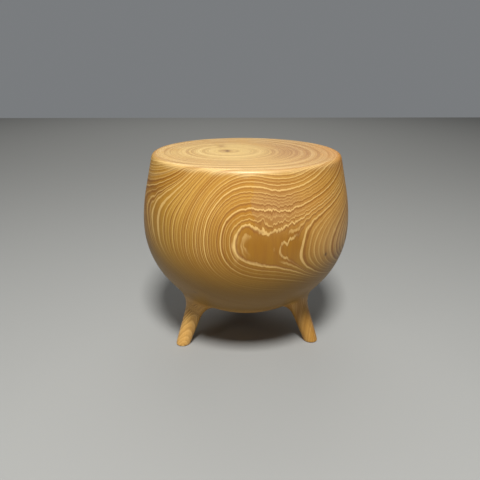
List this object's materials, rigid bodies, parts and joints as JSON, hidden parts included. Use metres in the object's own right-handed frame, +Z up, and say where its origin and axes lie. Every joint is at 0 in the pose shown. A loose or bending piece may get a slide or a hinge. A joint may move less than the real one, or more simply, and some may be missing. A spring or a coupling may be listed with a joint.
{
  "type": "carved log stool",
  "caption": "Pot-bellied round stool carved from a solid log, with a flat top, a softly rounded rim and short splayed legs that grow out of the belly.",
  "frame": {"origin": "on the body's vertical axis, at floor level", "axes": "+Z up along the body's axis; -Y is the front, midway between the two front legs; +X is to the right as seen from the front"},
  "size_m": [0.376, 0.376, 0.35],
  "materials": {
    "satin_wood": "clear satin lacquer over open-grained golden tan timber"
  },
  "bodies": {
    "root": {"log_stool": "satin_wood"}
  },
  "joints": []
}
